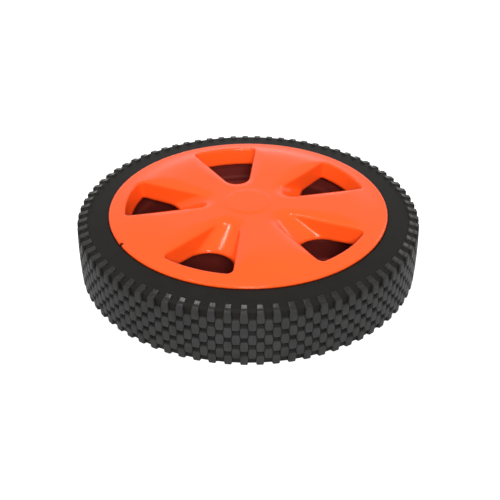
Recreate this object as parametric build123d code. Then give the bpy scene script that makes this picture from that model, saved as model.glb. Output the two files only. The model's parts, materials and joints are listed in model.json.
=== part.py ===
from build123d import *
import os
from math import atan2, cos, degrees, pi, radians, sin, sqrt

# Rear wheel of a garden machine, lying on its back: +Z is the wheel axis and the cap faces up.
# The origin is on the axis, in the plane of the tyre's back sidewall.
# Lengths are millimetres, angles are degrees, and a "height" is measured from the wheel's mid-plane,
# or for the hub cap, which sits on the front flange, from the tyre's front sidewall.

# Tyre
tyre_radius = 127.0
tyre_depth = 29.0
tyre_width = 47.0
tread_width = 42.8
tread_depth = 2.6
crown_drop = 0.6
tread_columns = 75
block_length = 8.3
block_draft = 0.25
block_root = 0.5
edge_margin = 0.15
edge_lean = 0.4
groove_width = 0.3
bead_lip = 1.6

# Rim of the wheel body
seat_clearance = 0.05
rim_wall = 3.2
flange_height = 4.4
flange_thickness = 3.0
flange_recess = 1.2

# Web, ribs and hub of the wheel body
web_height = -5.0
web_thickness = 4.0
web_fillet = 3.0
hub_radius = 22.0
hub_front_height = 12.0
hub_back_recess = 1.0
bearing_shoulder = 3.0
back_rib_count = 10
back_rib_recess = 4.0
front_rib_rise = 7.0
rib_thickness = 3.0

# Hub cap: a hub disc, spokes that stay level and then fall to a flat land, and a skirt below
cap_overhang = 1.0
cap_rim_height = 1.7
land_height = 2.2
land_width = 7.4
shoulder_height = 4.9
shoulder_inset = 19.4
spoke_height = 6.5
cap_hub_height = 5.8
cap_wall = 2.2
cap_edge_thickness = 1.8
cap_edge_radius = 1.2
hub_disc_radius = 17.0
hub_disc_step = 0.5
hub_disc_edge = 0.4
skirt_thickness = 1.8
skirt_clearance = 0.3

# Pockets of the hub cap: each rolls in from the spokes to a throat and runs down a ramp to a window
pocket_count = 5
pocket_phase = 102.8
rim_land = 11.2
hub_land = 9.0
outer_wall_run = 4.0
ramp_run = 26.0
throat_nose_radius = 8.3
throat_lean = 17.6
throat_corner_radius = 5.0
window_height = -10.1
window_nose_radius = 18.0
window_lean = 22.8
window_corner_radius = 1.6
roll_width = 9.0
roll_depth = 3.5
roll_backing = 5.4
roll_steps = (1, 0.8, 0.6, 0.4, 0.2, 0, -0.2)

# Snap barbs and pry notch of the hub cap
barb_width = 14.0
barb_drop = 6.0
barb_height = 3.0
barb_reach = 1.1
tongue_inset = 0.2
groove_clearance = 0.3
notch_angle = 210.5
notch_width = 3.2
notch_depth = 2.2

# Ball bearings and the tube between them
bore_radius = 6.0
bearing_radius = 16.0
bearing_width = 10.0
ring_wall = 2.9
ring_edge = 0.4
ball_count = 7
ball_radius = 2.97
race_clearance = 0.12
cage_wall = 2.6
cage_back = 1.0
cage_rise = 1.5
shield_thickness = 0.5
shield_recess = 0.2
shield_step = 0.6
shield_gap = 0.3
spacer_wall = 2.2

# Reach of cutting and joining tools past the faces they meet
cut_past = 1.0

# Places that follow from these sizes
mid = tyre_width / 2
front_face = tyre_width
seat_radius = tyre_radius - tyre_depth
flange_radius = seat_radius + flange_height
flange_back = flange_recess
flange_front = front_face - flange_recess
drum_radius = seat_radius - rim_wall
hub_front = mid + hub_front_height
cap_radius = flange_radius + cap_overhang
cap_rim = front_face + cap_rim_height
cap_hub = front_face + cap_hub_height
cap_crest = front_face + spoke_height
cap_under = cap_rim - cap_edge_thickness
cap_bottom = front_face + window_height
pocket_depth = spoke_height - window_height
skirt_radius = drum_radius - skirt_clearance
skirt_bore = skirt_radius - skirt_thickness
barb_bottom = cap_bottom - barb_drop
barb_top = barb_bottom + barb_height
pitch_radius = (bore_radius + bearing_radius) / 2
inner_ring_radius = bore_radius + ring_wall
outer_ring_bore = bearing_radius - ring_wall
race_radius = ball_radius + race_clearance
front_bearing = hub_front - bearing_width / 2
rear_bearing = hub_back_recess + bearing_width / 2


def turned(outline, angle=360):
    """Turn (radius, z) points, joined by straight lines, about the wheel axis."""
    return revolve(make_face(Plane.XZ * Polyline(*outline, close=True)), Axis.Z, angle)


def tube(inside, outside, bottom, top):
    """Straight ring between two radii and two heights above the floor."""
    return turned([(inside, bottom), (outside, bottom), (outside, top), (inside, top)])


def spokes_of(solid, count, phase):
    """Copies of a solid drawn on the +X side, spread evenly round the axis."""
    return [Rot(0, 0, phase + place * 360 / count) * solid for place in range(count)]


def crown_radius(height):
    """Radius over the tread blocks."""
    return tyre_radius - crown_drop * (2 * height / tread_width) ** 2


def tyre_outline():
    """Section of the tyre under its blocks: tread base, sidewalls and the foot between the flanges."""
    foot = seat_radius + seat_clearance
    foot_side = mid - flange_recess - flange_thickness - seat_clearance
    lip = flange_radius + seat_clearance
    half = [
        (foot, foot_side),
        (lip, foot_side),
        (lip, mid - bead_lip),
        (lip + bead_lip, mid),
        (tyre_radius - tread_depth, tread_width / 2),
    ]
    front = [(radius, mid + height) for radius, height in half]
    back = [(radius, mid - height) for radius, height in reversed(half)]
    return back + front


def tread_block(row):
    """One tapered tread block on the +X side; a block at the tread's edge leans in at its outer end."""
    spacing = (tread_width - block_length - 2 * edge_margin) / 3
    height = row * spacing
    slope = 8 * crown_drop * height / tread_width ** 2
    top = Plane(
        origin=(crown_radius(height), 0, mid + height),
        x_dir=(0, 1, 0),
        z_dir=(cos(slope), 0, sin(slope)),
    )
    root = top.offset(-tread_depth - block_root)
    width = pi * (tyre_radius - tread_depth) / tread_columns - groove_width
    lean = edge_lean if abs(row) > 1 else 0
    inward = -lean / 2 if row > 0 else lean / 2
    return loft([
        root * Rectangle(width, block_length),
        top * Pos(0, inward) * Rectangle(width - 2 * block_draft, block_length - 2 * block_draft - lean),
    ], ruled=True)


def make_tyre():
    """Tyre sewn from equal sectors, each with a column of four blocks and a column of three."""
    step = 360 / tread_columns
    sector = Rot(0, 0, -step / 4) * turned(tyre_outline(), step)
    blocks = [tread_block(row) for row in (-1.5, -0.5, 0.5, 1.5)]
    blocks += [Rot(0, 0, step / 2) * tread_block(row) for row in (-1, 0, 1)]
    sector = sector.fuse(*blocks)
    cuts = [Vector(-sin(radians(angle)), cos(radians(angle)), 0) for angle in (-step / 4, step * 3 / 4)]
    skin = [face for face in sector.faces() if not is_cut_face(face, cuts)]
    faces = [Rot(0, 0, place * step) * face for place in range(tread_columns) for face in skin]
    return Solid(Shell(faces))


def is_cut_face(face, cut_normals):
    """True for a flat face in one of the axial planes that bound a sector."""
    normal = face.normal_at()
    centre = face.center()
    tolerance = 1e-6
    return any(
        abs(abs(normal.dot(cut)) - 1) < tolerance and abs(centre.dot(cut)) < tolerance
        for cut in cut_normals
    )


def make_wheel_body():
    """Wheel body in one moulding: rim channel, web, hub with two bearing seats, and ribs."""
    web_back = mid + web_height - web_thickness / 2
    web_front = mid + web_height + web_thickness / 2
    seat = bearing_radius + seat_clearance
    through = bearing_radius - bearing_shoulder
    outline = Polyline(
        (through, hub_back_recess + bearing_width),
        (seat, hub_back_recess + bearing_width),
        (seat, hub_back_recess),
        (hub_radius, hub_back_recess),
        (hub_radius, web_back),
        (drum_radius, web_back),
        (drum_radius, flange_back),
        (flange_radius, flange_back),
        (flange_radius, flange_back + flange_thickness),
        (seat_radius, flange_back + flange_thickness),
        (seat_radius, flange_front - flange_thickness),
        (flange_radius, flange_front - flange_thickness),
        (flange_radius, flange_front),
        (drum_radius, flange_front),
        (drum_radius, web_front),
        (hub_radius, web_front),
        (hub_radius, hub_front),
        (seat, hub_front),
        (seat, hub_front - bearing_width),
        (through, hub_front - bearing_width),
        close=True,
    )
    face = make_face(outline)
    corners = [
        vertex for vertex in face.vertices()
        if vertex.Y in (web_back, web_front)
    ]
    body = revolve(Plane.XZ * fillet(corners, web_fillet), Axis.Z)

    rib_length = drum_radius - hub_radius + rib_thickness
    rib_middle = (drum_radius + hub_radius) / 2
    back_rise = web_back - back_rib_recess
    back_rib = Pos(rib_middle, 0, web_back - back_rise / 2) * Box(rib_length, rib_thickness, back_rise)
    front_rib = Box(rib_length, rib_thickness, front_rib_rise)
    front_rib = Pos(rib_middle, 0, web_front + front_rib_rise / 2) * front_rib
    spoke_phase = pocket_phase + 180 / pocket_count
    ribs = spokes_of(back_rib, back_rib_count, spoke_phase)
    ribs += spokes_of(front_rib, pocket_count, spoke_phase)
    groove = tube(
        drum_radius - cut_past,
        drum_radius + barb_reach,
        barb_bottom - groove_clearance,
        barb_top + groove_clearance,
    )
    return body.fuse(*ribs) - groove


def pocket_outline(depth, grow):
    """Rounded triangle of a pocket at a depth under the spokes, grown all round; its nose is inwards."""
    share = depth / pocket_depth

    def between(throat, window):
        return throat + (window - throat) * share

    outer = cap_radius - rim_land - outer_wall_run * share + grow
    nose_radius = between(throat_nose_radius, window_nose_radius)
    nose_centre = hub_disc_radius + hub_land + ramp_run * share + nose_radius
    nose_radius += grow
    lean = radians(between(throat_lean, window_lean))
    along = Vector(cos(lean), sin(lean))
    across = Vector(-sin(lean), cos(lean))
    side = Vector(nose_centre, 0) + across * nose_radius
    from_axis = side.dot(across)
    corner = across * from_axis + along * sqrt(outer ** 2 - from_axis ** 2)
    outline = make_face([
        ThreePointArc((side.X, -side.Y), (nose_centre - nose_radius, 0), side),
        Line(side, corner),
        ThreePointArc(corner, (outer, 0), (corner.X, -corner.Y)),
        Line((corner.X, -corner.Y), (side.X, -side.Y)),
    ])
    corner_radius = between(throat_corner_radius, window_corner_radius) + grow
    return fillet(outline.vertices().sort_by(Axis.X)[-2:], corner_radius)


def pocket():
    """Space of one pocket on the +X side, run past the cap: the roll at its mouth and the part below."""
    rolled = []
    for part in roll_steps:
        depth = roll_depth * part
        roll = roll_width * (1 - part) ** 2
        rolled.append(Plane.XY.offset(cap_crest - depth) * pocket_outline(depth, roll))
    straight = [
        Plane.XY.offset(cap_crest - depth) * pocket_outline(depth, 0)
        for depth in (roll_depth, pocket_depth + 4 * cut_past)
    ]
    return loft(rolled).fuse(loft(straight, ruled=True))


def walled_pocket():
    """Pocket with its wall, as the space that the hollow of the cap keeps clear of."""
    ramp_slope = atan2(pocket_depth, ramp_run)
    ramp_drop = cap_wall * (1 - sin(ramp_slope)) / cos(ramp_slope)
    top = Plane.XY.offset(cap_crest - ramp_drop)
    bottom = pocket_depth + 4 * cut_past
    return loft([
        top * pocket_outline(0, cap_wall + roll_backing),
        top.offset(-roll_depth) * pocket_outline(roll_depth, cap_wall),
        top.offset(-bottom) * pocket_outline(bottom, cap_wall),
    ], ruled=True)


def dome():
    """Round body of the cap under the run of its spokes, with the disc at the hub and the rounded lip."""
    disc_foot = cap_hub - hub_disc_step
    spoke_run = Spline(
        (cap_radius, cap_rim),
        (cap_radius - land_width, front_face + land_height),
        (cap_radius - shoulder_inset, front_face + shoulder_height),
        ((cap_radius + hub_disc_radius) / 2, cap_crest),
        (hub_disc_radius, disc_foot),
    )
    sides = Polyline(
        (hub_disc_radius, disc_foot),
        (hub_disc_radius - hub_disc_edge, cap_hub),
        (0, cap_hub),
        (0, cap_bottom),
        (cap_radius, cap_bottom),
        (cap_radius, cap_rim),
    )
    face = make_face([spoke_run] + sides.edges())
    lip = face.vertices().group_by(Axis.X)[-1].sort_by(Axis.Y)[-1]
    return revolve(Plane.XZ * fillet(lip, cap_edge_radius), Axis.Z)


def make_hub_cap():
    """Cap that clips into the drum: thin dome with scooped pockets, skirt with barbs, and pry notch."""
    hollow = Pos(0, 0, -cap_wall) * dome() & Cylinder(skirt_bore, 2 * cap_hub)
    hollow -= spokes_of(walled_pocket(), pocket_count, pocket_phase)
    cap = dome() - spokes_of(pocket(), pocket_count, pocket_phase) - hollow
    cap -= tube(skirt_radius, cap_radius + cut_past, cap_bottom - cut_past, cap_under)

    notch = Box(2 * notch_depth, notch_width, 2 * cap_edge_thickness + cut_past)
    cap -= Rot(0, 0, notch_angle) * Pos(cap_radius, 0, cap_rim) * notch
    spoke_phase = pocket_phase + 180 / pocket_count
    return cap.fuse(*spokes_of(snap_barb(), pocket_count, spoke_phase))


def snap_barb():
    """Springy tongue below the skirt with a wedge that catches in the groove of the drum."""
    angle = degrees(barb_width / skirt_radius)
    inside = skirt_bore + tongue_inset
    outside = skirt_radius - tongue_inset
    outline = [
        (inside, cap_bottom + cut_past),
        (outside, cap_bottom + cut_past),
        (outside, barb_top),
        (skirt_radius + barb_reach, barb_top),
        (outside, barb_bottom),
        (inside, barb_bottom),
    ]
    return Rot(0, 0, -angle / 2) * turned(outline, angle)


def ring_section(inside, outside):
    """Half section of a bearing ring, with broken edges and its half of the ball race."""
    blank = Pos((inside + outside) / 2, 0) * Rectangle(outside - inside, bearing_width)
    blank = chamfer(blank.vertices(), ring_edge)
    return blank - Pos(pitch_radius, 0) * Circle(race_radius)


def make_inner_ring():
    """Inner ring of a bearing, about the bearing's own centre."""
    return revolve(Plane.XZ * ring_section(bore_radius, inner_ring_radius), Axis.Z)


def make_outer_ring():
    """Outer ring of a bearing, with a step at each end for its shield."""
    step = 2 * Vector(shield_step, shield_recess + shield_thickness)
    corner = Pos(outer_ring_bore, bearing_width / 2) * Rectangle(step.X, step.Y)
    section = ring_section(outer_ring_bore, bearing_radius) - corner - mirror(corner, Plane.XZ)
    return revolve(Plane.XZ * section, Axis.Z)


def make_cage():
    """Crown cage: a ring with a round pocket for each ball, open at one side."""
    inside = pitch_radius - cage_wall / 2
    ring = tube(inside, inside + cage_wall, -ball_radius - cage_back, cage_rise)
    seat = Pos(pitch_radius, 0, 0) * Sphere(race_radius)
    return ring - spokes_of(seat, ball_count, 0)


def make_shield(side):
    """Flat shield, pressed into the outer ring at the +Z or the -Z side."""
    face = bearing_width / 2 - shield_recess
    levels = sorted((side * face, side * (face - shield_thickness)))
    return tube(inner_ring_radius + shield_gap, outer_ring_bore + shield_step, *levels)


def make_bearing(end, z):
    """Named pieces of one ball bearing whose centre is at a height above the floor."""
    place = Pos(0, 0, z)
    pieces = {
        f"{end}_outer_ring": place * make_outer_ring(),
        f"{end}_inner_ring": place * make_inner_ring(),
        f"{end}_cage": place * make_cage(),
        f"{end}_shield_upper": place * make_shield(1),
        f"{end}_shield_lower": place * make_shield(-1),
    }
    ball = place * Pos(pitch_radius, 0, 0) * Sphere(ball_radius)
    for number, copy in enumerate(spokes_of(ball, ball_count, 0), start=1):
        pieces[f"{end}_ball_{number}"] = copy
    return pieces


def make_spacer():
    """Tube that keeps the two inner rings apart."""
    return tube(
        bore_radius,
        bore_radius + spacer_wall,
        hub_back_recess + bearing_width,
        hub_front - bearing_width,
    )


pieces = {
    "tyre": make_tyre(),
    "wheel_body": make_wheel_body(),
    "hub_cap": make_hub_cap(),
    "bearing_spacer": make_spacer(),
}
pieces |= make_bearing("front", front_bearing)
pieces |= make_bearing("rear", rear_bearing)

os.makedirs("parts", exist_ok=True)
for name, piece in pieces.items():
    export_step(piece, f"parts/{name}.step")
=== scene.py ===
import json
from math import cos, pi, radians, sin

import bmesh
import bpy
import numpy as np
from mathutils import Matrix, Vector


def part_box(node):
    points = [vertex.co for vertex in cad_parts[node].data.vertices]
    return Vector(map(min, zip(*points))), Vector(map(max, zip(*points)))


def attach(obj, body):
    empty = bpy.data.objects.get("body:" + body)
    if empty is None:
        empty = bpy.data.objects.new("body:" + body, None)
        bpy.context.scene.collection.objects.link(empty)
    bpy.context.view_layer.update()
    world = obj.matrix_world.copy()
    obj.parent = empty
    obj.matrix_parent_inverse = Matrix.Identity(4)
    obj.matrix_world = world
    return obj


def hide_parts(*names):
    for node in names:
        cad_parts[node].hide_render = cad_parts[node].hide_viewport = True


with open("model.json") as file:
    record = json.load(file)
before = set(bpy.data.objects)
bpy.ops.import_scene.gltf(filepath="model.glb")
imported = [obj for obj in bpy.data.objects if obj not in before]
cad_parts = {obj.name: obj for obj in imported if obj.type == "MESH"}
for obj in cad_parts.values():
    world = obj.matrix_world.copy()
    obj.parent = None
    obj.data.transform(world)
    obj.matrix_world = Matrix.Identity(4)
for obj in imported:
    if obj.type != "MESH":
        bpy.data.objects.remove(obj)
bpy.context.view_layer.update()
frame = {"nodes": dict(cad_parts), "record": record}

nodes = frame["nodes"]

# Lengths in this script are metres unless a name says otherwise
MM = 0.001

# Camera of the photograph, in its 500 x 500 frame: aimed at the centre of the wheel's mid-plane
IMAGE_SIZE = 500
CAMERA_ELEVATION = radians(32.59)
CAMERA_DISTANCE = 0.662
FOCAL_PIXELS = 868.6
AIM_PIXEL = (248.2, 233.96)
SENSOR_MM = 36.0

# Lamps: name, power in watts, size and place, all facing one target
LAMPS = (
    ("front", 22.0, (0.5, 0.3), (0.1, -1.36, 0.9)),
    ("overhead", 4.0, (0.20, 0.20), (-0.45, -0.05, 1.3)),
    ("top", 4.0, (0.16, 0.14), (0.0, -0.08, 1.3)),
    ("right", 1.5, (0.35, 0.35), (0.93, 0.9, 0.75)),
)
LAMP_TARGET = (0.0, 0.0, 0.03)

# Strength of the surroundings, as light and as the background
WORLD_LIGHT = 0.38
BACKGROUND_WHITE = 1.0

# Floor: half its side, the grey that takes the shadow, and the glow that lifts it to white
FLOOR_HALF_SIDE = 6.0
FLOOR_GREY = 0.6
FLOOR_GLOW = 0.75

# Width of the tyre, which lies on its back, so that its mid-plane is half of it above the floor
tyre_low, tyre_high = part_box("tyre")
TYRE_WIDTH = tyre_high.z - tyre_low.z
HALF_WIDTH = TYRE_WIDTH / 2

# Tyre sizes that the frame's box does not give
TYRE_RADIUS = 127.0 * MM
FOOT_RADIUS = 98.05 * MM
FOOT_HALF_WIDTH = 19.25 * MM
LIP_RADIUS = 102.45 * MM
LIP_SIZE = 1.6 * MM

# Tread: pairs of columns, one of four blocks with lugs and one of three blocks, side by side
TREAD_COLUMNS = 75
TREAD_DEPTH = 2.6 * MM
TREAD_HALF_WIDTH = 21.4 * MM
CROWN_DROP = 0.6 * MM
BLOCK_LENGTH = 8.3 * MM
BLOCK_SPACING = 11.4 * MM
BLOCK_BULGE = 0.5 * MM
GROOVE_WIDTH = 0.3 * MM
FOUR_ROWS = (-1.5, -0.5, 0.5, 1.5)
THREE_ROWS = (-1, 0, 1)
TREAD_FOOT = TYRE_RADIUS - TREAD_DEPTH
COLUMN_WIDTH = pi * TREAD_FOOT / TREAD_COLUMNS

# Rise of a block from its foot: distance in from the foot, and share of the full height
WALL_RISE = ((0.0, 0.0), (0.2 * MM, 0.8), (0.6 * MM, 1.0))
LEAN_RISE = ((0.0, 0.0), (0.3 * MM, 0.86), (0.8 * MM, 1.0))
SIDE_RISE = ((0.0, 0.62), (0.15 * MM, 0.9), (0.5 * MM, 1.0))

# Shoulder drawn in between the lugs: depth, start from the mid-plane, and reach below the tread
SCALLOP_DEPTH = 0.8 * MM
SCALLOP_START = 19.4 * MM
SCALLOP_REACH = 1.3 * MM

# Lugs that carry the end blocks over the shoulder: radius, and rise above the sidewall there
LUG_STEPS = (
    (118.6 * MM, 0.0),
    (119.0 * MM, 1.2 * MM),
    (119.4 * MM, 1.35 * MM),
    # These two lie on the slope between their neighbours and keep its shading flat
    (119.6 * MM, 1.267 * MM),
    (121.6 * MM, 0.433 * MM),
    (121.8 * MM, 0.35 * MM),
    (122.3 * MM, 0.25 * MM),
    (124.3 * MM, 0.2 * MM),
)

# Rounding at the tread's edge: inward in radius, and toward the mid-plane
EDGE_DROP = 0.10 * MM
EDGE_INSET = 0.04 * MM

# Sidewall rows: depths below the tread's foot, and margins inside the lugs and outside the lip
SIDEWALL_DEPTHS = (0.35 * MM, 1.2 * MM)
LUG_MARGIN = 0.4 * MM
LIP_MARGIN = 1.6 * MM

# Rounded edge of the lip: radius beyond its inner edge, and depth below the tyre's face
LIP_EDGE = (
    (LIP_SIZE + 0.3 * MM, 0.02 * MM),
    (LIP_SIZE - 0.3 * MM, 0.15 * MM),
    (0.5 * MM, LIP_SIZE - 0.6 * MM),
    (0.0, LIP_SIZE),
)

# Decimals, in metres, to which rows of the tread count as the same
ROW_DECIMALS = 7

# Cap: distance within which points join, angle at which an edge is sharp, and rounding in its shading
WELD_DISTANCE = 0.001 * MM
SHARP_EDGE = radians(35)
CAP_ROUNDING = 3.0 * MM
CAP_ROUNDING_SAMPLES = 8

# Part of a noise's values over which a colour goes from its dark tone to its pale one
NOISE_RANGE = (0.3, 0.7)

# Dark tone of bare steel as a share of its pale one
STEEL_SHADE = 0.9

# Value of the pale block-top and painted gap shade mask below which rubber keeps its plain dark tone
PALE_TOP_GAP_SHADE_START = 0.14

# Colour sockets of a mix node, by number because other sockets have the same names
MIX_FIRST = 6
MIX_SECOND = 7
MIX_RESULT = 2


# Node helpers

def new_material(name):
    """Material with an empty node tree but for its output and one principled shader."""
    material = bpy.data.materials.new(name)
    material.use_nodes = True
    tree = material.node_tree
    tree.nodes.clear()
    shader = tree.nodes.new("ShaderNodeBsdfPrincipled")
    output = tree.nodes.new("ShaderNodeOutputMaterial")
    tree.links.new(shader.outputs["BSDF"], output.inputs["Surface"])
    return material, tree, shader


def noise(tree, scale, detail=3.0):
    """Noise over object space, scale in features per metre."""
    coordinates = tree.nodes.new("ShaderNodeTexCoord")
    texture = tree.nodes.new("ShaderNodeTexNoise")
    texture.inputs["Scale"].default_value = scale
    texture.inputs["Detail"].default_value = detail
    tree.links.new(coordinates.outputs["Object"], texture.inputs["Vector"])
    return texture.outputs["Fac"]


def tones(tree, value, dark, pale):
    """Colour that goes from dark to pale with a noise."""
    node = tree.nodes.new("ShaderNodeValToRGB")
    for element, position, colour in zip(node.color_ramp.elements, NOISE_RANGE, (dark, pale)):
        element.position = position
        element.color = (*colour, 1.0)
    tree.links.new(value, node.inputs["Fac"])
    return node.outputs["Color"]


def spread(tree, value, at_zero, at_one):
    """A value from 0 to 1 mapped evenly to another range."""
    node = tree.nodes.new("ShaderNodeMapRange")
    node.inputs["To Min"].default_value = at_zero
    node.inputs["To Max"].default_value = at_one
    tree.links.new(value, node.inputs["Value"])
    return node.outputs["Result"]


def share_above(tree, value, start):
    """0 up to start, rising to 1 where the value is 1."""
    node = tree.nodes.new("ShaderNodeMapRange")
    node.inputs["From Min"].default_value = start
    tree.links.new(value, node.inputs["Value"])
    return node.outputs["Result"]


def bump(tree, shader, height, distance, strength):
    """Bump of a given depth on a shader."""
    node = tree.nodes.new("ShaderNodeBump")
    node.inputs["Strength"].default_value = strength
    node.inputs["Distance"].default_value = distance
    tree.links.new(height, node.inputs["Height"])
    tree.links.new(node.outputs["Normal"], shader.inputs["Normal"])


def mixed(tree, share, first, second):
    """Blend of two colours: the first at share 0, the second at share 1."""
    node = tree.nodes.new("ShaderNodeMix")
    node.data_type = "RGBA"
    tree.links.new(share, node.inputs["Factor"])
    tree.links.new(first, node.inputs[MIX_FIRST])
    tree.links.new(second, node.inputs[MIX_SECOND])
    return node.outputs[MIX_RESULT]


def mesh_value(tree, name):
    """Value that the mesh carries at its points."""
    node = tree.nodes.new("ShaderNodeAttribute")
    node.attribute_name = name
    return node.outputs["Fac"]


def seen_as_background(tree):
    """1 for a ray from the camera, a reflection or a clear body, 0 for one that only carries light."""
    path = tree.nodes.new("ShaderNodeLightPath")
    value = path.outputs["Is Camera Ray"]
    for kind in ("Is Glossy Ray", "Is Transmission Ray"):
        either = tree.nodes.new("ShaderNodeMath")
        either.operation = "MAXIMUM"
        tree.links.new(value, either.inputs[0])
        tree.links.new(path.outputs[kind], either.inputs[1])
        value = either.outputs["Value"]
    return value


# Materials

def cap_plastic():
    """Glossy orange moulded plastic with softly rounded edges."""
    material, tree, shader = new_material("orange_gloss_plastic")
    colour = tones(tree, noise(tree, 9.0, detail=1.0), (0.93, 0.088, 0.010), (0.96, 0.094, 0.012))
    tree.links.new(colour, shader.inputs["Base Color"])
    shader.inputs["Roughness"].default_value = 0.15
    shader.inputs["Specular IOR Level"].default_value = 0.17
    rounding = tree.nodes.new("ShaderNodeBevel")
    rounding.samples = CAP_ROUNDING_SAMPLES
    rounding.inputs["Radius"].default_value = CAP_ROUNDING
    tree.links.new(rounding.outputs["Normal"], shader.inputs["Normal"])
    return material


def tyre_rubber():
    """Black rubber: dull dark sidewalls, paler block tops that darken with painted shade down into the
    gaps between them, and lugs that shine.
    """
    material, tree, shader = new_material("black_rubber")
    grain = noise(tree, 90.0, detail=4.0)
    # Painted shade: the rubber's tone falls from the pale block tops to the plain dark tone on the gap
    # floors
    pale_top_gap_shade_share = share_above(tree, mesh_value(tree, "pale_top_gap_shade"), PALE_TOP_GAP_SHADE_START)
    shine = mesh_value(tree, "shine")
    plain_and_gap_shade_tone = tones(tree, grain, (0.0075, 0.0070, 0.0058), (0.0098, 0.0092, 0.0078))
    pale_top_tone = tones(tree, grain, (0.028, 0.028, 0.028), (0.040, 0.040, 0.040))
    tree.links.new(mixed(tree, pale_top_gap_shade_share, plain_and_gap_shade_tone, pale_top_tone), shader.inputs["Base Color"])
    tree.links.new(spread(tree, shine, 0.55, 0.29), shader.inputs["Roughness"])
    tree.links.new(spread(tree, shine, 0.08, 0.26), shader.inputs["Specular IOR Level"])
    return material


def body_plastic_painted_red_shade():
    """Moulded plastic with a fine grain, coloured very dark red as painted shade and painted orange
    bounce light.
    """
    material, tree, shader = new_material("moulded_plastic_painted_red_shade")
    # Painted shade and painted bounce light: very dark red for the shaded inside seen through the cap's
    # windows
    colour = tones(tree, noise(tree, 60.0), (0.13, 0.016, 0.012), (0.15, 0.019, 0.014))
    tree.links.new(colour, shader.inputs["Base Color"])
    tree.links.new(spread(tree, noise(tree, 200.0), 0.50, 0.65), shader.inputs["Roughness"])
    shader.inputs["Specular IOR Level"].default_value = 0.12
    bump(tree, shader, noise(tree, 1800.0, detail=2.0), distance=0.04 * MM, strength=0.4)
    return material


def metal(name, pale, roughness, grain_scale):
    """Bare steel with a fine grain."""
    material, tree, shader = new_material(name)
    shader.inputs["Metallic"].default_value = 1.0
    dark = tuple(STEEL_SHADE * channel for channel in pale)
    colour = tones(tree, noise(tree, 120.0), dark, pale)
    tree.links.new(colour, shader.inputs["Base Color"])
    grain = noise(tree, grain_scale, detail=2.0)
    tree.links.new(spread(tree, grain, *roughness), shader.inputs["Roughness"])
    bump(tree, shader, grain, distance=0.01 * MM, strength=0.3)
    return material


def cage_plastic():
    """Natural moulded plastic of a bearing cage."""
    material, tree, shader = new_material("cage_plastic")
    colour = tones(tree, noise(tree, 150.0), (0.50, 0.44, 0.32), (0.58, 0.52, 0.40))
    tree.links.new(colour, shader.inputs["Base Color"])
    tree.links.new(spread(tree, noise(tree, 300.0), 0.40, 0.55), shader.inputs["Roughness"])
    return material


def floor_white():
    """White ground: white to the camera, with the soft shadow of what lies on it."""
    material = bpy.data.materials.new("white_ground")
    material.use_nodes = True
    tree = material.node_tree
    tree.nodes.clear()
    output = tree.nodes.new("ShaderNodeOutputMaterial")
    diffuse = tree.nodes.new("ShaderNodeBsdfDiffuse")
    diffuse.inputs["Color"].default_value = (FLOOR_GREY, FLOOR_GREY, FLOOR_GREY, 1.0)
    glow = tree.nodes.new("ShaderNodeEmission")
    strength = spread(tree, seen_as_background(tree), 0.0, FLOOR_GLOW)
    tree.links.new(strength, glow.inputs["Strength"])
    both = tree.nodes.new("ShaderNodeAddShader")
    tree.links.new(diffuse.outputs["BSDF"], both.inputs[0])
    tree.links.new(glow.outputs["Emission"], both.inputs[1])
    tree.links.new(both.outputs["Shader"], output.inputs["Surface"])
    return material


# Tyre

def interpolated(places, steps):
    """Values at places, on the straight lines between (place, value) steps."""
    return np.interp(places, [place for place, _ in steps], [value for _, value in steps])


def tread_blocks(rows):
    """Blocks of one column: ends from the mid-plane, and how each end rises from its foot."""
    blocks = []
    for row in rows:
        low = row * BLOCK_SPACING - BLOCK_LENGTH / 2
        # Only the ends at the tread's edges lean
        low_rise = LEAN_RISE if row == FOUR_ROWS[0] else WALL_RISE
        high_rise = LEAN_RISE if row == FOUR_ROWS[-1] else WALL_RISE
        blocks.append((low, low + BLOCK_LENGTH, low_rise, high_rise))
    return blocks


def block_lift(blocks, heights):
    """Height of one column's blocks above the tread's foot, at heights from the mid-plane."""
    share = np.zeros_like(heights)
    for low, high, low_rise, high_rise in blocks:
        from_low = interpolated(heights - low, low_rise)
        from_high = interpolated(high - heights, high_rise)
        share = np.maximum(share, np.minimum(from_low, from_high))
    crown = TREAD_DEPTH - CROWN_DROP * (heights / TREAD_HALF_WIDTH) ** 2
    return crown * share


def tread_rows(columns):
    """Heights across the tread at which the blocks' walls bend, from front to back."""
    heights = {0.0}
    for blocks in columns:
        for low, high, low_rise, high_rise in blocks:
            heights |= {round(low + distance, ROW_DECIMALS) for distance, _ in low_rise}
            heights |= {round(high - distance, ROW_DECIMALS) for distance, _ in high_rise}
    return np.array(sorted(heights, reverse=True))


def column_places():
    """Places across one column at which its blocks' sides bend, and their share of the rise there."""
    foot = GROOVE_WIDTH / 2
    near_side = [foot + distance for distance, _ in SIDE_RISE]
    far_side = [COLUMN_WIDTH - place for place in reversed(near_side)]
    places = np.array([0.0, *near_side, *far_side])
    from_near = interpolated(places - foot, SIDE_RISE)
    from_far = interpolated(COLUMN_WIDTH - foot - places, SIDE_RISE)
    return places, np.minimum(from_near, from_far)


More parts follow.
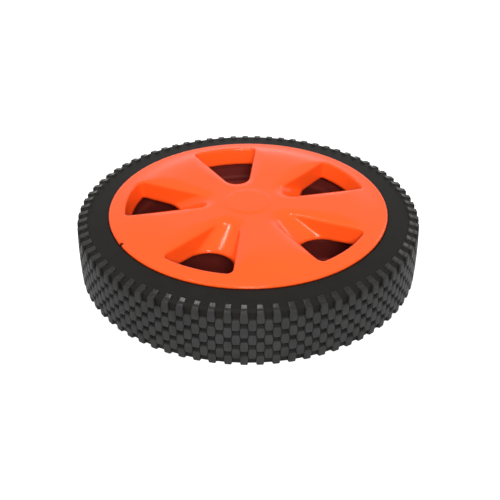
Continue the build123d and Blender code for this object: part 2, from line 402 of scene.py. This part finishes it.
def tyre_section(tread_heights):
    """Closed outline of the tyre: radii and heights of the tread, back side, foot and front side."""
    lip_top = LIP_RADIUS + LIP_SIZE
    slope = (HALF_WIDTH - TREAD_HALF_WIDTH) / (TREAD_FOOT - lip_top)
    lug_radii = [radius for radius, _ in LUG_STEPS]
    wall_radii = [TREAD_FOOT - depth for depth in SIDEWALL_DEPTHS]
    wall_radii += reversed(lug_radii[:-1])
    wall_radii += [lug_radii[0] - LUG_MARGIN, lip_top + LIP_MARGIN]

    side = [(TREAD_FOOT - EDGE_DROP, TREAD_HALF_WIDTH - EDGE_INSET)]
    side += [(radius, TREAD_HALF_WIDTH + slope * (TREAD_FOOT - radius)) for radius in wall_radii]
    side += [(LIP_RADIUS + beyond, HALF_WIDTH - depth) for beyond, depth in LIP_EDGE]
    side += [(LIP_RADIUS, FOOT_HALF_WIDTH), (FOOT_RADIUS, FOOT_HALF_WIDTH)]

    rows = [(TREAD_FOOT, height) for height in tread_heights]
    rows += [(radius, -height) for radius, height in side]
    rows += [(radius, height) for radius, height in reversed(side)]
    return np.array(rows).T


def shoulder_forms(radii, heights, tread_count):
    """Outward rise of the lugs, and inward depth of the scallops between them, along the section."""
    lug = interpolated(radii, LUG_STEPS)
    lug[(radii < LUG_STEPS[0][0]) | (radii > LUG_STEPS[-1][0])] = 0
    lug[:tread_count] = 0
    beyond = (np.abs(heights) - SCALLOP_START) / (TREAD_HALF_WIDTH - SCALLOP_START)
    near_tread = radii > TREAD_FOOT - SCALLOP_REACH
    scallop = SCALLOP_DEPTH * np.clip(beyond, 0, 1) * near_tread
    return lug * np.sign(heights), scallop * np.sign(heights)


def bulge_angles(heights):
    """Angle by which a lugged column widens along the section, and its neighbour narrows."""
    across_tread = np.minimum(np.abs(heights), TREAD_HALF_WIDTH)
    bulge = BLOCK_BULGE * np.cos(2 * pi * (across_tread / BLOCK_SPACING - 0.5))
    return bulge / TREAD_FOOT


def skin_faces(ring_count, row_count):
    """Quads of a skin that closes both round the axis and along its section."""
    index = np.arange(ring_count * row_count).reshape(ring_count, row_count)
    after = np.roll(index, -1, axis=0)
    corners = (index, np.roll(index, -1, axis=1), np.roll(after, -1, axis=1), after)
    return np.stack(corners, axis=-1).reshape(-1, 4)


def make_tyre():
    """Tyre with rounded tread blocks, swept round the axis as one closed skin."""
    columns = [tread_blocks(FOUR_ROWS), tread_blocks(THREE_ROWS)]
    tread_heights = tread_rows(columns)
    tread_count = len(tread_heights)
    lifts = [block_lift(blocks, tread_heights) for blocks in columns]
    radii, heights = tyre_section(tread_heights)
    lug, scallop = shoulder_forms(radii, heights, tread_count)
    bulge = bulge_angles(heights)
    on_lug = lug != 0
    on_lug[[0, tread_count - 1]] = True
    places, shares = column_places()

    rings = []
    pale_top_gap_shades = []
    shines = []
    for column in range(2 * TREAD_COLUMNS):
        lugged = column % 2 == 0
        lift = lifts[column % 2]
        shift = lug if lugged else -scallop
        widening = bulge if lugged else -bulge
        for place, share in zip(places, shares):
            across = 2 * place / COLUMN_WIDTH - 1
            angle = (column + across / 2) * pi / TREAD_COLUMNS + widening * across
            radius = radii.copy()
            radius[:tread_count] += lift * share
            height = HALF_WIDTH + heights + shift * share
            rings.append(np.column_stack((radius * np.cos(angle), radius * np.sin(angle), height)))

            # Painted shade: share of the pale block-top tone, falling with the blocks' height to none in
            # the gaps; lugs and sidewalls keep the plain tone
            pale_top_gap_shade = np.zeros_like(radii)
            pale_top_gap_shade[:tread_count] = lift * share / TREAD_DEPTH
            shine = np.zeros_like(radii)
            if lugged:
                pale_top_gap_shade[on_lug] = 0
                shine[on_lug] = share
            pale_top_gap_shades.append(pale_top_gap_shade)
            shines.append(shine)

    faces = skin_faces(len(rings), len(radii))
    piece = mesh_piece("tyre_moulded", np.concatenate(rings), faces)
    for name, values in (("pale_top_gap_shade", pale_top_gap_shades), ("shine", shines)):
        layer = piece.data.attributes.new(name, "FLOAT", "POINT")
        layer.data.foreach_set("value", np.concatenate(values))
    keep_flats_flat(piece)
    return piece


# Pieces

def add_object(name, data):
    """Object in the scene that shows a mesh, a lamp or a camera."""
    piece = bpy.data.objects.new(name, data)
    bpy.context.scene.collection.objects.link(piece)
    return piece


def mesh_piece(name, points, faces):
    """Smooth-shaded mesh object from points and faces."""
    mesh = bpy.data.meshes.new(name)
    mesh.from_pydata(points.tolist(), [], faces.tolist())
    mesh.validate()
    mesh.shade_smooth()
    return add_object(name, mesh)


def keep_flats_flat(piece):
    """Smooth shading in which large faces set the normals of the small ones beside them."""
    even = piece.modifiers.new("flat_faces_stay_flat", "WEIGHTED_NORMAL")
    even.keep_sharp = True


def smooth_copy(node):
    """Copy of a CAD node with joined points, smooth but for its real edges."""
    mesh = nodes[node].data.copy()
    mesh.transform(nodes[node].matrix_world)
    work = bmesh.new()
    work.from_mesh(mesh)
    bmesh.ops.remove_doubles(work, verts=work.verts, dist=WELD_DISTANCE)
    work.to_mesh(mesh)
    work.free()
    mesh.shade_smooth()
    mesh.set_sharp_from_angle(angle=SHARP_EDGE)
    piece = add_object(f"{node}_smooth", mesh)
    keep_flats_flat(piece)
    return piece


def set_material(piece, material):
    """Give a piece one material in place of any it has."""
    piece.data.materials.clear()
    piece.data.materials.append(material)


# Studio

def add_camera():
    """Camera at the photograph's place, with the small shift of its frame."""
    data = bpy.data.cameras.new("photo_camera")
    data.sensor_width = SENSOR_MM
    data.lens = FOCAL_PIXELS / IMAGE_SIZE * SENSOR_MM
    data.shift_x = (IMAGE_SIZE / 2 - AIM_PIXEL[0]) / IMAGE_SIZE
    data.shift_y = (AIM_PIXEL[1] - IMAGE_SIZE / 2) / IMAGE_SIZE
    camera = add_object("photo_camera", data)
    camera.location = (
        0.0,
        -CAMERA_DISTANCE * cos(CAMERA_ELEVATION),
        HALF_WIDTH + CAMERA_DISTANCE * sin(CAMERA_ELEVATION),
    )
    camera.rotation_euler = (pi / 2 - CAMERA_ELEVATION, 0.0, 0.0)
    bpy.context.scene.camera = camera


def add_world():
    """Even pale surroundings, white where the camera, a reflection or a clear body shows them."""
    world = bpy.data.worlds.new("studio")
    world.use_nodes = True
    bpy.context.scene.world = world
    tree = world.node_tree
    tree.nodes.clear()
    output = tree.nodes.new("ShaderNodeOutputWorld")
    background = tree.nodes.new("ShaderNodeBackground")
    background.inputs["Color"].default_value = (1.0, 1.0, 1.0, 1.0)
    strength = spread(tree, seen_as_background(tree), WORLD_LIGHT, BACKGROUND_WHITE)
    tree.links.new(strength, background.inputs["Strength"])
    tree.links.new(background.outputs["Background"], output.inputs["Surface"])


def add_floor():
    """Plain pale floor under the wheel."""
    half = FLOOR_HALF_SIDE
    corners = [(-half, -half, 0), (half, -half, 0), (half, half, 0), (-half, half, 0)]
    mesh = bpy.data.meshes.new("floor")
    mesh.from_pydata(corners, [], [(0, 1, 2, 3)])
    floor = add_object("floor", mesh)
    set_material(floor, floor_white())


def add_lamp(name, power, size, place):
    """Soft rectangular lamp at a place, facing the lamps' target."""
    data = bpy.data.lights.new(name, "AREA")
    data.energy = power
    data.shape = "RECTANGLE"
    data.size, data.size_y = size
    lamp = add_object(name, data)
    lamp.location = place
    facing = Vector(LAMP_TARGET) - Vector(place)
    lamp.rotation_euler = facing.to_track_quat("-Z", "Y").to_euler()


# Wheel

finishes = {
    "tyre": tyre_rubber(),
    "wheel_body": body_plastic_painted_red_shade(),
    "hub_cap": cap_plastic(),
    "ring_steel": metal("ring_steel", (0.60, 0.60, 0.61), roughness=(0.22, 0.34), grain_scale=900.0),
    "ball_steel": metal("ball_steel", (0.72, 0.72, 0.74), roughness=(0.08, 0.14), grain_scale=1200.0),
    "shield": metal("shield_steel", (0.52, 0.52, 0.53), roughness=(0.30, 0.42), grain_scale=700.0),
    "spacer_steel": metal("spacer_steel", (0.58, 0.58, 0.56), roughness=(0.26, 0.40), grain_scale=800.0),
    "cage": cage_plastic(),
}

tyre = make_tyre()
set_material(tyre, finishes["tyre"])
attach(tyre, "wheel")
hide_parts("tyre")

cap = smooth_copy("hub_cap")
set_material(cap, finishes["hub_cap"])
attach(cap, "wheel")
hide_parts("hub_cap")

for subpart in frame["record"]["subparts"]:
    set_material(nodes[subpart["node"]], finishes[subpart["material_slot"]])

# Surroundings

add_camera()
add_world()
add_floor()
for lamp in LAMPS:
    add_lamp(*lamp)
bpy.context.scene.view_settings.view_transform = "Standard"
